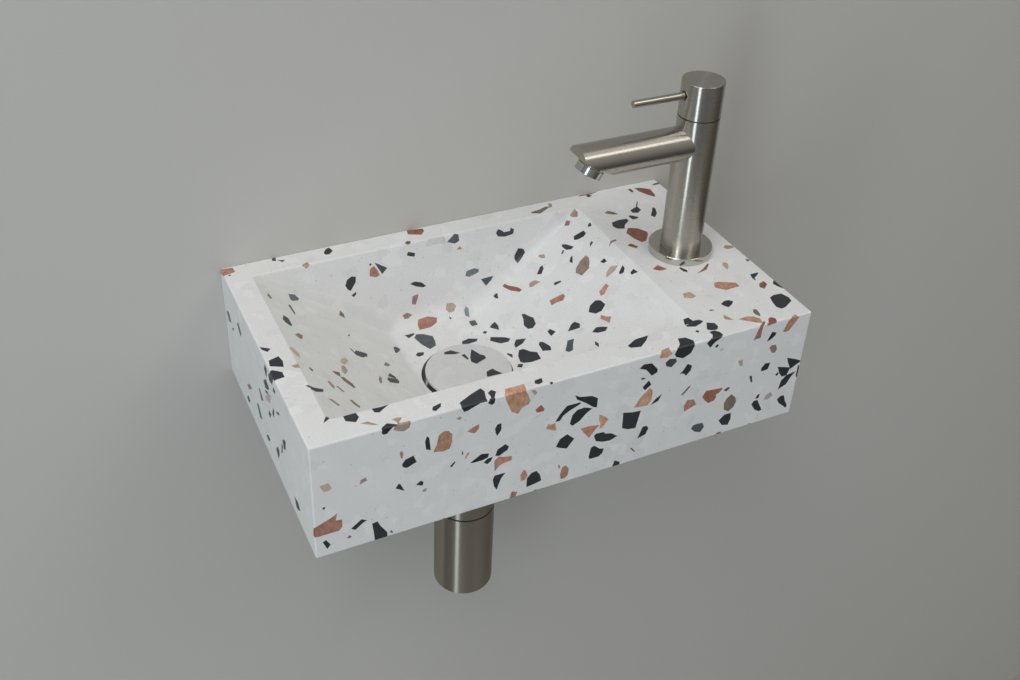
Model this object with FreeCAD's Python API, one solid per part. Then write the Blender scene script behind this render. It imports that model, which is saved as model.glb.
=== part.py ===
import FreeCAD, Part
import math
import os

from FreeCAD import Vector

# Terrazzo cloakroom basin with a steel tap on its deck and a bottle trap below, in millimetres.
# X runs along the wall, +Y points at the wall, Z is up.
# The origin lies on the wall between the two fixing holes.

# Basin
width = 360.0
depth = 205.0
height = 90.0
edge_round = 1.2
rim_left = 18.0
rim_back = 17.5
rim_front = 20.5
deck_width = 82.5
deck_thick = 20.0
wall_thick = 18.0

# Bowl
bowl_depth = 65.0
floor_length = 68.0
wall_lean = 8.0
slope_thick = 14.0
floor_thick = 22.0
rim_corner = 3.0
valley_round = 16.0
floor_round = 12.0

# Wall fixing
fixing_drop = 62.0
fixing_spacing = 260.0
fixing_hole = 7.0

# Waste, with radii
cover_radius = 31.3
cover_thick = 6.0
cover_proud = 2.6
cover_gap = 2.0
cover_edge = 1.0
cover_undercut = 3.5
cover_shift_x = 1.2
cover_shift_y = 0.9
recess_depth = 14.0
carrier_radius = 24.0
carrier_thick = 1.5
stem_radius = 4.0
stem_collar = 6.5
collar_thick = 2.0
buffer_thick = 1.0
guide_radius = 7.5
guide_length = 12.0
guide_drop = 7.0
stem_below_guide = 4.0
arm_thick = 3.0
flange_radius = 31.0
flange_thick = 3.0
flange_edge = 0.75
seal_inset = 1.0
seal_thick = 2.0
waste_thread = 20.95
waste_bore = 17.0
waste_length = 49.0
waste_hole = 23.0
clamp_radius = 32.0
gasket_thick = 4.0
washer_thick = 2.0
waste_nut_flats = 54.0
waste_nut_thick = 10.0

# Bottle trap, with radii
trap_radius = 23.5
trap_bore = 18.7
pipe_radius = 16.0
pipe_wall = 1.2
union_radius = 25.0
union_length = 30.0
union_lip = 5.0
dip_collar_thick = 3.0
head_gap = 4.0
head_roof = 6.0
head_length = 49.0
ring_section = 2.5
ring_height = 3.0
spigot_length = 12.0
cup_length = 80.5
cup_wall = 2.0
cup_base = 3.0
cup_edge = 1.5
cup_seal_thick = 1.5
cup_seal_inset = 0.6
dip_depth = 114.0
outlet_drop = 25.0
outlet_boss = 19.0
outlet_reach = 46.0
outlet_socket = 20.0
outlet_nut_radius = 23.0
outlet_nut_length = 21.0
outlet_lip = 6.0
outlet_seal_thick = 3.0
pipe_into_wall = 60.0
pipe_mark_place = 3.0
pipe_mark_width = 1.5
pipe_mark_depth = 0.4
rosette_radius = 33.0
rosette_thick = 7.0
rosette_edge = 3.0

# Tap, with radii; drops and rises are measured from the top of its body
deck_hole = 17.5
foot_radius = 23.5
foot_height = 6.0
foot_edge = 0.8
foot_socket = 3.0
base_seal_inner = 17.5
base_seal_outer = 21.0
base_seal_height = 1.6
body_radius = 15.0
body_height = 110.0
body_floor = 9.0
inlet_chamber = 12.0
seat_drop = 52.0
seat_thick = 4.0
seat_port = 5.5
valve_chamber = 11.2
step_drop = 12.0
nut_chamber = 12.8
spout_radius = 12.5
spout_bore = 11.0
spout_drop = 20.0
spout_reach = 94.0
spout_port = 7.0
end_wall = 2.0
cut_above_axis = 4.5
cut_angle = 30.0
cut_wall = 6.0
aerator_place = 14.0
aerator_radius = 10.0
aerator_neck = 9.2
neck_length = 1.5
aerator_length = 8.0
aerator_lip = 0.6
aerator_thread = 8.2
aerator_bore = 6.8
aerator_depth = 4.5
aerator_washer_thick = 1.2
insert_inset = 1.0
jet_radius = 0.8
jet_ring_step = 2.5
jet_rings = 3
jets_around_first = 6

# Tap fixing below the deck
shank_thread = 10.48
shank_bore = 6.0
shank_length = 70.0
relief_depth = 0.8
relief_width = 2.0
inlet_length = 20.0
shank_gasket_radius = 22.0
shank_gasket_thick = 3.0
shank_washer_thick = 2.0
shank_nut_flats = 30.0
shank_nut_thick = 9.0

# Quarter-turn valve and handle
valve_radius = 9.5
valve_bore = 7.0
base_drop = 46.0
roof_drop = 32.7
valve_flange = 12.5
valve_flange_thick = 3.0
valve_neck = 7.5
neck_drop = 0.5
valve_nut_bore = 8.6
valve_nut_thick = 7.0
valve_window = 5.0
window_drop = 34.0
window_height = 6.0
valve_seal_bore = 4.6
seal_drop = 44.0
disc_radius = 6.6
disc_thick = 3.0
disc_port = 1.8
disc_port_offset = 3.8
spindle_radius = 4.0
spindle_head = 6.4
spindle_head_thick = 5.0
spindle_rise = 16.5
spindle_flat = 3.4
tongue_wide = 3.0
tongue_long = 11.0
tongue_deep = 1.5
glide_inner = 11.0
glide_outer = 14.3
glide_thick = 0.8
handle_height = 25.2
handle_edge = 0.5
handle_hollow = 12.5
handle_hollow_depth = 5.0
handle_socket_rise = 17.0
lever_radius = 2.6
lever_rise = 16.5
lever_reach = 55.0
lever_root = 6.6
lever_recess = 3.5
lever_recess_depth = 1.4
lever_edge = 0.4
grub_radius = 2.0
grub_length = 6.5
grub_rise = 11.0

# Clearances
thread_play = 0.05
running_play = 0.06
free_play = 0.3
sliding_play = 0.1

# Reach of a cutting or joining shape past the face it meets, and tolerance for finding edges
past = 1.0
tolerance = 0.01

# Places worked out from the sizes above
rim = fixing_drop
bowl_left = -width / 2 + rim_left
bowl_right = width / 2 - deck_width
bowl_front = -depth + rim_front
bowl_back = -rim_back
waste_x = (bowl_left + bowl_right) / 2
waste_y = (bowl_front + bowl_back) / 2
floor_z = rim - bowl_depth
underside_z = rim - height
tap_x = width / 2 - deck_width / 2
tap_y = waste_y

recess_z = floor_z - recess_depth
flange_top = recess_z + seal_thick + flange_thick
guide_top = flange_top - guide_drop
guide_low = guide_top - guide_length
cover_top = floor_z + cover_proud
cover_low = cover_top - cover_thick
carrier_low = cover_low - carrier_thick
waste_end = recess_z + seal_thick - waste_length
gasket_top = floor_z - floor_thick
washer_top = gasket_top - gasket_thick
waste_nut_top = washer_top - washer_thick

dip_top = waste_end - seal_thick
union_low = dip_top - dip_collar_thick - union_lip
union_top = union_low + union_length
head_top = union_low - head_gap
head_low = head_top - head_length
outlet_z = head_top - outlet_drop
ring_low = head_top - (head_roof + ring_height) / 2
spigot_radius = trap_radius - cup_wall - free_play
cup_top = head_low - cup_seal_thick
cup_low = cup_top - cup_length
boss_end = waste_y + outlet_reach
socket_start = boss_end - outlet_socket

body_top = rim + body_height
spout_z = body_top - spout_drop
spout_tip = tap_x - spout_reach
seat_low = body_top - seat_drop
step_z = body_top - step_drop
neck_top = body_top - neck_drop
handle_low = body_top + glide_thick + sliding_play
handle_top = handle_low + handle_height
disc_low = body_top - seal_drop
disc_joint = disc_low + disc_thick
moving_low = disc_joint + sliding_play
moving_top = moving_low + disc_thick

# The oblique cut under the spout's end, along the cut and square to it
cut = math.radians(cut_angle)
cut_along = Vector(math.cos(cut), 0, -math.sin(cut))
cut_out = Vector(-math.sin(cut), 0, -math.cos(cut))
cut_corner = Vector(spout_tip, tap_y, spout_z + cut_above_axis)
aerator_centre = cut_corner + cut_along * aerator_place


def post(radius, low, high, x, y):
    """Upright cylinder."""
    return Part.makeCylinder(radius, high - low, Vector(x, y, low))


def sleeve(outer, inner, low, high, x, y):
    """Upright tube."""
    return post(outer, low, high, x, y).cut(post(inner, low, high, x, y))


def bar_x(radius, left, right, y, z):
    """Cylinder lying along the wall."""
    return Part.makeCylinder(radius, right - left, Vector(left, y, z), Vector(1, 0, 0))


def bar_y(radius, front, back, x, z):
    """Cylinder lying square to the wall."""
    return Part.makeCylinder(radius, back - front, Vector(x, front, z), Vector(0, 1, 0))


def hexagon(flats, low, high, x, y):
    """Upright hexagonal prism, measured across its flats."""
    corner = flats / math.sqrt(3)
    turns = [math.radians(60 * i) for i in range(7)]
    outline = [Vector(x + corner * math.cos(t), y + corner * math.sin(t), low) for t in turns]
    return Part.Face(Part.makePolygon(outline)).extrude(Vector(0, 0, high - low))


def prism_y(outline, front, back):
    """Prism of an outline in X and Z, running square to the wall."""
    points = [Vector(x, front, z) for x, z in outline]
    return Part.Face(Part.makePolygon(points + points[:1])).extrude(Vector(0, back - front, 0))


def edges_at(shape, z):
    """Edges that lie wholly at one height."""
    found = []
    for edge in shape.Edges:
        box = edge.BoundBox
        if abs(box.ZMin - z) < tolerance and abs(box.ZMax - z) < tolerance:
            found.append(edge)
    return found


def bowl_hollow():
    """Bowl space: long slopes at the ends, steep front and back, and valleys that soften as they go down."""
    ends = (bowl_left, bowl_right, bowl_front, bowl_back)
    half = floor_length / 2
    feet = (waste_x - half, waste_x + half, bowl_front + wall_lean, bowl_back - wall_lean)
    loops = []
    for (left, right, front, back), z in ((ends, rim), (feet, floor_z)):
        corners = ((left, front), (right, front), (right, back), (left, back))
        loops.append([Vector(x, y, z) for x, y in corners])
    top, low = loops
    faces = [Part.Face(Part.makePolygon(loop + loop[:1])) for loop in loops]
    for i in range(4):
        j = (i + 1) % 4
        faces.append(Part.Face(Part.makePolygon([top[i], top[j], low[j], low[i], top[i]])))
    hollow = Part.Solid(Part.Shell(faces))
    for starts_at_rim in (True, False):
        valleys = []
        for edge in hollow.Edges:
            straight = edge.Curve.TypeId == "Part::GeomLine"
            upright = straight and abs(edge.BoundBox.ZLength - bowl_depth) < tolerance
            at_rim = edge.firstVertex().Point.z > (rim + floor_z) / 2
            own_corner = any(edge.firstVertex().Point.isEqual(p, tolerance) for p in top + low)
            if upright and own_corner and at_rim == starts_at_rim:
                valleys.append(edge)
        radii = (rim_corner, valley_round) if starts_at_rim else (valley_round, rim_corner)
        hollow = hollow.makeFillet(radii[0], radii[1], valleys)
    return hollow.makeFillet(floor_round, edges_at(hollow, floor_z))


def underside_hollow():
    """Space below the slopes and the deck, open at the bottom, where the nuts are reached."""
    run = waste_x - floor_length / 2 - bowl_left
    fall = bowl_depth / run
    offset = slope_thick * math.hypot(1, fall)
    roof = rim - deck_thick
    floor = floor_z - floor_thick
    roof_run = (rim - offset - roof) / fall
    floor_run = (rim - offset - floor) / fall
    outline = [
        (-width / 2 + wall_thick, underside_z),
        (-width / 2 + wall_thick, roof),
        (bowl_left + roof_run, roof),
        (bowl_left + floor_run, floor),
        (bowl_right - floor_run, floor),
        (bowl_right - roof_run, roof),
        (width / 2 - wall_thick, roof),
        (width / 2 - wall_thick, underside_z),
    ]
    return prism_y(outline, -depth + wall_thick, -wall_thick)


def basin():
    """Terrazzo casting with its bowl, waste recess, tap hole and fixing holes."""
    block = Part.makeBox(width, depth, height, Vector(-width / 2, -depth, underside_z))
    off_wall = [e for e in block.Edges if e.BoundBox.YMin < -tolerance]
    block = block.makeFillet(edge_round, off_wall)
    shell = block.cut(bowl_hollow()).cut(underside_hollow())
    bowl_edges = []
    for edge in edges_at(shell, rim):
        box = edge.BoundBox
        along = box.XMin > bowl_left - past and box.XMax < bowl_right + past
        across = box.YMin > bowl_front - past and box.YMax < bowl_back + past
        if along and across:
            bowl_edges.append(edge)
    shell = shell.makeFillet(edge_round, bowl_edges)
    shell = shell.cut(post(cover_radius + cover_gap, recess_z, floor_z + past, waste_x, waste_y))
    shell = shell.cut(post(waste_hole, underside_z, recess_z, waste_x, waste_y))
    shell = shell.cut(post(deck_hole, rim - deck_thick, rim, tap_x, tap_y))
    for side in (-1, 1):
        shell = shell.cut(bar_y(fixing_hole, -wall_thick, 0, side * fixing_spacing / 2, 0))
    return shell


def waste_cover():
    """Terrazzo disc with an eased top edge, bevelled back below so that water runs under it.
    It lies loose, a little off the waste's axis."""
    disc = post(cover_radius, cover_low, cover_top, waste_x + cover_shift_x, waste_y + cover_shift_y)
    disc = disc.makeFillet(cover_edge, edges_at(disc, cover_top))
    return disc.makeChamfer(cover_undercut, edges_at(disc, cover_low))


def cover_carrier():
    """Steel plate under the cover, with the stem that drops into the waste's guide."""
    plate = post(carrier_radius, carrier_low, cover_low, waste_x, waste_y)
    stem = post(stem_radius, guide_low - stem_below_guide, carrier_low, waste_x, waste_y)
    collar_low = guide_top + buffer_thick
    collar = post(stem_collar, collar_low, collar_low + collar_thick, waste_x, waste_y)
    return plate.fuse([stem, collar]).removeSplitter()


def cover_buffer():
    return sleeve(stem_collar, stem_radius, guide_top, guide_top + buffer_thick, waste_x, waste_y)


def waste_body():
    """Flanged tube through the basin floor, with a three-armed guide for the cover's stem."""
    flange = post(flange_radius, flange_top - flange_thick, flange_top, waste_x, waste_y)
    flange = flange.makeFillet(flange_edge, edges_at(flange, flange_top))
    body = flange.fuse(post(waste_thread, waste_end, flange_top - flange_thick, waste_x, waste_y))
    body = body.cut(post(waste_bore, waste_end, flange_top, waste_x, waste_y))
    guide = post(guide_radius, guide_low, guide_top, waste_x, waste_y)
    arms = []
    for i in range(3):
        corner = Vector(waste_x, waste_y - arm_thick / 2, guide_low)
        arm = Part.makeBox(waste_bore + past, arm_thick, guide_length, corner)
        arm.rotate(Vector(waste_x, waste_y, 0), Vector(0, 0, 1), 120 * i)
        arms.append(arm)
    body = body.fuse([guide] + arms).removeSplitter()
    return body.cut(post(stem_radius + running_play, guide_low, guide_top, waste_x, waste_y))


def waste_top_seal():
    return sleeve(flange_radius - seal_inset, waste_hole, recess_z, recess_z + seal_thick, waste_x, waste_y)


def waste_gasket():
    return sleeve(clamp_radius, waste_thread + thread_play, washer_top, gasket_top, waste_x, waste_y)


def waste_washer():
    return sleeve(clamp_radius, waste_thread + free_play, waste_nut_top, washer_top, waste_x, waste_y)


def waste_nut():
    low = waste_nut_top - waste_nut_thick
    nut = hexagon(waste_nut_flats, low, waste_nut_top, waste_x, waste_y)
    return nut.cut(post(waste_thread + thread_play, low, waste_nut_top, waste_x, waste_y))


def inlet_nut():
    """Union nut that draws the dip tube's collar up against the waste."""
    nut = post(union_radius, union_low, union_top, waste_x, waste_y)
    nut = nut.makeChamfer(edge_round, edges_at(nut, union_low) + edges_at(nut, union_top))
    nut = nut.cut(post(waste_thread + thread_play, union_low + union_lip, union_top, waste_x, waste_y))
    return nut.cut(post(pipe_radius + free_play, union_low, union_low + union_lip, waste_x, waste_y))


def inlet_seal():
    return sleeve(waste_thread - free_play, waste_bore, dip_top, waste_end, waste_x, waste_y)


def dip_tube():
    """Tube from the waste down into the cup, whose end stands under water."""
    tube = post(pipe_radius, dip_top - dip_depth, dip_top, waste_x, waste_y)
    collar = post(waste_thread - free_play, dip_top - dip_collar_thick, dip_top, waste_x, waste_y)
    tube = tube.fuse(collar).removeSplitter()
    return tube.cut(post(pipe_radius - pipe_wall, dip_top - dip_depth, dip_top, waste_x, waste_y))


def trap_head():
    """Upper half of the trap, with the outlet socket at its back and a spigot for the cup."""
    head = post(trap_radius, head_low, head_top, waste_x, waste_y)
    head = head.makeChamfer(cup_edge, edges_at(head, head_top))
    head = head.fuse(post(spigot_radius, head_low - spigot_length, head_low, waste_x, waste_y))
    head = head.fuse(bar_y(outlet_boss, waste_y, boss_end, waste_x, outlet_z)).removeSplitter()
    head = head.cut(post(trap_bore, head_low - spigot_length, head_top - head_roof, waste_x, waste_y))
    head = head.cut(post(pipe_radius + free_play, head_top - head_roof, head_top, waste_x, waste_y))
    head = head.cut(post(pipe_radius + ring_section, ring_low, ring_low + ring_height, waste_x, waste_y))
    head = head.cut(bar_y(pipe_radius - pipe_wall, waste_y, socket_start, waste_x, outlet_z))
    return head.cut(bar_y(pipe_radius + running_play, socket_start, boss_end, waste_x, outlet_z))


def head_ring():
    return sleeve(pipe_radius + ring_section, pipe_radius, ring_low, ring_low + ring_height, waste_x, waste_y)


def cup_seal():
    outer = trap_radius - cup_seal_inset
    return sleeve(outer, spigot_radius + free_play, cup_top, head_low, waste_x, waste_y)


def trap_cup():
    cup = post(trap_radius, cup_low, cup_top, waste_x, waste_y)
    cup = cup.makeFillet(cup_edge, edges_at(cup, cup_low))
    return cup.cut(post(spigot_radius + free_play, cup_low + cup_base, cup_top, waste_x, waste_y))


def outlet_nut():
    """Nut that squeezes the outlet seal against the pipe."""
    back = boss_end + outlet_seal_thick + outlet_lip
    front = back - outlet_nut_length
    nut = bar_y(outlet_nut_radius, front, back, waste_x, outlet_z)
    nut = nut.makeChamfer(edge_round, [e for e in nut.Edges if e.BoundBox.YLength < tolerance])
    nut = nut.cut(bar_y(outlet_boss + thread_play, front, back - outlet_lip, waste_x, outlet_z))
    return nut.cut(bar_y(pipe_radius + free_play, back - outlet_lip, back, waste_x, outlet_z))


def outlet_seal():
    back = boss_end + outlet_seal_thick
    seal = bar_y(outlet_boss, boss_end, back, waste_x, outlet_z)
    return seal.cut(bar_y(pipe_radius, boss_end, back, waste_x, outlet_z))


def outlet_pipe():
    """Pipe into the wall, with a groove that marks how far it goes into the drain."""
    pipe = bar_y(pipe_radius, socket_start, pipe_into_wall, waste_x, outlet_z)
    mark_end = pipe_mark_place + pipe_mark_width
    mark = bar_y(pipe_radius, pipe_mark_place, mark_end, waste_x, outlet_z)
    mark = mark.cut(bar_y(pipe_radius - pipe_mark_depth, pipe_mark_place, mark_end, waste_x, outlet_z))
    pipe = pipe.cut(mark)
    return pipe.cut(bar_y(pipe_radius - pipe_wall, socket_start, pipe_into_wall, waste_x, outlet_z))


def wall_rosette():
    """Round cover plate on the wall, with a rolled front edge."""
    plate = bar_y(rosette_radius, -rosette_thick, 0, waste_x, outlet_z)
    plate = plate.makeFillet(rosette_edge, [e for e in plate.Edges if e.BoundBox.YMax < -rosette_thick / 2])
    return plate.cut(bar_y(pipe_radius, -rosette_thick, 0, waste_x, outlet_z))


def tap_flange():
    """Polished foot ring, with a socket for the tap body and a groove for its seal."""
    ring = post(foot_radius, rim, rim + foot_height, tap_x, tap_y)
    ring = ring.makeFillet(foot_edge, edges_at(ring, rim + foot_height))
    ring = ring.cut(post(shank_thread + free_play, rim, rim + foot_socket, tap_x, tap_y))
    ring = ring.cut(post(body_radius, rim + foot_socket, rim + foot_height, tap_x, tap_y))
    return ring.cut(base_seal())


def base_seal():
    return sleeve(base_seal_outer, base_seal_inner, rim, rim + base_seal_height, tap_x, tap_y)


def tap_body():
    """Column with an inlet chamber below the valve seat and a valve chamber above it."""
    low = rim + foot_socket
    body = post(body_radius, low, body_top, tap_x, tap_y)
    body = body.cut(post(shank_thread + thread_play, low, low + body_floor, tap_x, tap_y))
    body = body.cut(post(inlet_chamber, low + body_floor, seat_low, tap_x, tap_y))
    body = body.cut(post(seat_port, seat_low, seat_low + seat_thick, tap_x, tap_y))
    body = body.cut(post(valve_chamber, seat_low + seat_thick, step_z, tap_x, tap_y))
    body = body.cut(post(nut_chamber, step_z, body_top, tap_x, tap_y))
    return body.cut(bar_x(spout_port, tap_x - body_radius, tap_x, tap_y, spout_z))


def below_cut(inset):
    """Space under the oblique cut, moved into the spout by a wall thickness."""
    start = cut_corner - cut_out * inset - cut_along * spout_reach
    end = cut_corner - cut_out * inset + cut_along * spout_reach
    far = cut_out * spout_reach
    outline = [(p.x, p.z) for p in (start, end, end + far, start + far)]
    return prism_y(outline, tap_y - spout_radius - past, tap_y + spout_radius + past)


def aerator_post(radius, start, end):
    """Cylinder along the jet, measured outward from the oblique cut."""
    return Part.makeCylinder(radius, end - start, aerator_centre + cut_out * start, cut_out)


def spout():
    """Tube welded to the column, closed at its end and cut obliquely where the aerator screws in."""
    tube = bar_x(spout_radius, spout_tip, tap_x, tap_y, spout_z).cut(below_cut(0))
    bore = bar_x(spout_bore, spout_tip + end_wall, tap_x, tap_y, spout_z).cut(below_cut(cut_wall))
    tube = tube.cut(bore)
    tube = tube.cut(post(body_radius, rim, body_top, tap_x, tap_y))
    tube = tube.cut(aerator_post(aerator_thread + thread_play, -aerator_depth, past))
    return tube.cut(aerator_post(aerator_bore, -cut_wall - past, 0))


def aerator_housing():
    grip = aerator_post(aerator_radius, neck_length, aerator_length)
    grip = grip.makeChamfer(aerator_lip, [e for e in grip.Edges if e.Curve.TypeId == "Part::GeomCircle"])
    neck = aerator_post(aerator_neck, 0, neck_length)
    thread = aerator_post(aerator_thread, aerator_washer_thick - aerator_depth, 0)
    housing = grip.fuse([neck, thread]).removeSplitter()
    return housing.cut(aerator_post(aerator_bore, -aerator_depth, aerator_length))


def aerator_washer():
    washer = aerator_post(aerator_thread, -aerator_depth, aerator_washer_thick - aerator_depth)
    return washer.cut(aerator_post(aerator_bore, -aerator_depth, aerator_washer_thick - aerator_depth))


def aerator_insert():
    """Plastic plug with rings of small jets."""
    end = aerator_length - insert_inset
    plug = aerator_post(aerator_bore, aerator_washer_thick - aerator_depth, end)
    jets = []
    for ring in range(jet_rings):
        count = max(1, ring * jets_around_first)
        offset = ring * jet_ring_step
        for i in range(count):
            turn = 2 * math.pi * i / count
            place = cut_along * offset * math.cos(turn) + Vector(0, offset * math.sin(turn), 0)
            jet = aerator_post(jet_radius, -aerator_depth, aerator_length)
            jet.translate(place)
            jets.append(jet)
    return plug.cut(jets)


def tap_shank():
    """Threaded tube through the deck, with a relief groove above the stretch for the supply nut."""
    top = rim + foot_socket + body_floor
    low = top - shank_length
    groove_low = low + inlet_length
    shank = sleeve(shank_thread, shank_bore, low, top, tap_x, tap_y)
    groove_top = groove_low + relief_width
    return shank.cut(sleeve(shank_thread, shank_thread - relief_depth, groove_low, groove_top, tap_x, tap_y))


def shank_gasket():
    top = rim - deck_thick
    low = top - shank_gasket_thick
    return sleeve(shank_gasket_radius, shank_thread + thread_play, low, top, tap_x, tap_y)


def shank_washer():
    top = rim - deck_thick - shank_gasket_thick
    return sleeve(shank_gasket_radius, shank_thread + free_play, top - shank_washer_thick, top, tap_x, tap_y)


def shank_nut():
    top = rim - deck_thick - shank_gasket_thick - shank_washer_thick
    nut = hexagon(shank_nut_flats, top - shank_nut_thick, top, tap_x, tap_y)
    return nut.cut(post(shank_thread + thread_play, top - shank_nut_thick, top, tap_x, tap_y))


def cartridge_body():
    """Brass valve barrel, with a flange on the body's step, a neck for the spindle and two side windows."""
    base = body_top - base_drop
    roof = body_top - roof_drop
    barrel = post(valve_radius, base, step_z, tap_x, tap_y)
    flange = post(valve_flange, step_z, step_z + valve_flange_thick, tap_x, tap_y)
    neck = post(valve_neck, step_z + valve_flange_thick, neck_top, tap_x, tap_y)
    barrel = barrel.fuse([flange, neck]).removeSplitter()
    barrel = barrel.cut(post(valve_bore, base, roof, tap_x, tap_y))
    barrel = barrel.cut(post(spindle_radius + running_play, roof, neck_top, tap_x, tap_y))
    window_low = body_top - window_drop - window_height
    corner = Vector(tap_x - valve_radius, tap_y - valve_window / 2, window_low)
    window = Part.makeBox(2 * valve_radius, valve_window, window_height, corner)
    return barrel.cut(window)


def cartridge_nut():
    low = step_z + valve_flange_thick
    return sleeve(nut_chamber - thread_play, valve_nut_bore, low, low + valve_nut_thick, tap_x, tap_y)


def cartridge_seal():
    low = seat_low + seat_thick
    return sleeve(valve_bore - thread_play, valve_seal_bore, low, disc_low, tap_x, tap_y)


def ported_disc(low, high, turn):
    """Ceramic disc with two ports on a line at the given turn."""
    disc = post(disc_radius, low, high, tap_x, tap_y)
    for side in (-1, 1):
        x = tap_x + side * disc_port_offset * math.cos(turn)
        y = tap_y + side * disc_port_offset * math.sin(turn)
        disc = disc.cut(post(disc_port, low, high, x, y))
    return disc


def tongue(play):
    """Drive tongue between the spindle and the moving disc."""
    wide = tongue_wide + 2 * play
    low = moving_top - tongue_deep - play
    corner = Vector(tap_x - disc_radius, tap_y - wide / 2, low)
    return Part.makeBox(2 * disc_radius, wide, moving_top - low, corner)


def fixed_disc():
    return ported_disc(disc_low, disc_joint, 0)


def moving_disc():
    """Shut at rest: its ports stand a quarter turn from those of the fixed disc."""
    return ported_disc(moving_low, moving_top, math.pi / 2).cut(tongue(thread_play))


def spindle():
    """Stem that carries the handle and turns the moving disc."""
    head = post(spindle_head, moving_top, moving_top + spindle_head_thick, tap_x, tap_y)
    stem_top = body_top + spindle_rise
    stem = post(spindle_radius, moving_top + spindle_head_thick, stem_top, tap_x, tap_y)
    drive = tongue(0).common(post(tongue_long / 2, moving_low, moving_top, tap_x, tap_y))
    stem = head.fuse([stem, drive]).removeSplitter()
    corner = Vector(tap_x + spindle_flat, tap_y - spindle_radius, handle_low)
    flat = Part.makeBox(spindle_radius, 2 * spindle_radius, stem_top - handle_low, corner)
    return stem.cut(flat)


def glide_ring():
    return sleeve(glide_outer, glide_inner, body_top, body_top + glide_thick, tap_x, tap_y)


def handle_head():
    """Turning cap, hollow below, with holes for the spindle, the lever and the grub screw."""
    head = post(body_radius, handle_low, handle_top, tap_x, tap_y)
    head = head.makeFillet(handle_edge, edges_at(head, handle_top))
    head = head.cut(post(handle_hollow, handle_low, handle_low + handle_hollow_depth, tap_x, tap_y))
    head = head.cut(post(spindle_radius, handle_low, body_top + handle_socket_rise, tap_x, tap_y))
    lever_z = body_top + lever_rise
    head = head.cut(bar_x(lever_radius, tap_x - body_radius, tap_x - lever_root, tap_y, lever_z))
    recess_end = tap_x - body_radius + lever_recess_depth
    head = head.cut(bar_x(lever_recess, tap_x - body_radius, recess_end, tap_y, lever_z))
    return head.cut(bar_x(grub_radius, tap_x, tap_x + body_radius, tap_y, body_top + grub_rise))


def lever():
    tip = tap_x - lever_reach
    pin = bar_x(lever_radius, tip, tap_x - lever_root, tap_y, body_top + lever_rise)
    return pin.makeFillet(lever_edge, [e for e in pin.Edges if e.BoundBox.XMax < tip + tolerance])


def grub_screw():
    start = tap_x + spindle_flat
    return bar_x(grub_radius, start, start + grub_length, tap_y, body_top + grub_rise)


pieces = (
    basin,
    waste_cover, cover_carrier, cover_buffer,
    waste_body, waste_top_seal, waste_gasket, waste_washer, waste_nut,
    inlet_nut, inlet_seal, dip_tube, trap_head, head_ring, cup_seal, trap_cup,
    outlet_nut, outlet_seal, outlet_pipe, wall_rosette,
    tap_flange, base_seal, tap_body, spout, aerator_housing, aerator_washer, aerator_insert,
    tap_shank, shank_gasket, shank_washer, shank_nut,
    cartridge_body, cartridge_nut, cartridge_seal, fixed_disc, moving_disc, spindle,
    glide_ring, handle_head, lever, grub_screw,
)

os.makedirs("parts", exist_ok=True)
for piece in pieces:
    shape = piece()
    shape.exportStep("parts/" + piece.__name__ + ".step")
    print(piece.__name__, len(shape.Solids), "solid", shape.isValid(), round(shape.Volume))
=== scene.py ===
import math
import random

import bmesh
import bpy
from mathutils import Matrix, Vector
from mathutils.geometry import tessellate_polygon


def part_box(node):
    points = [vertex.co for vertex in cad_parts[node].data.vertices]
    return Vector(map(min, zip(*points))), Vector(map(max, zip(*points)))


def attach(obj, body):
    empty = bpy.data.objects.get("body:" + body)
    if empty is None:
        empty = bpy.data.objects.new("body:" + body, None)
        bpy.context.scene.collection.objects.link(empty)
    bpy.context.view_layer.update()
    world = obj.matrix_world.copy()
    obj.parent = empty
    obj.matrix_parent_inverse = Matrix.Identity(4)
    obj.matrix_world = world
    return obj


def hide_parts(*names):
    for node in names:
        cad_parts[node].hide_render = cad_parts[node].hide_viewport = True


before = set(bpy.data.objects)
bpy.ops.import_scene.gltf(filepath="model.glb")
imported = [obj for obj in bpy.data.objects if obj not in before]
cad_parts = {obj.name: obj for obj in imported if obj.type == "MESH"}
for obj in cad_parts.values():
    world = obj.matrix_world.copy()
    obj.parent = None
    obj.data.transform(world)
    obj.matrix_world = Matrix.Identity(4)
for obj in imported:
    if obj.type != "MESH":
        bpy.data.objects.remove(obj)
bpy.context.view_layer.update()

# Basin: one block of cast terrazzo, white cement with coloured stone chips, ground flush and honed to a
# satin. It hangs on the wall by its back. Each chip is a patch of the real surface, drawn as an outline in
# millimetres: in x and z on upright faces, y and z on the left end, x and y on the rim and in the bowl.
mm = 0.001
edge_width = 0.3

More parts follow.
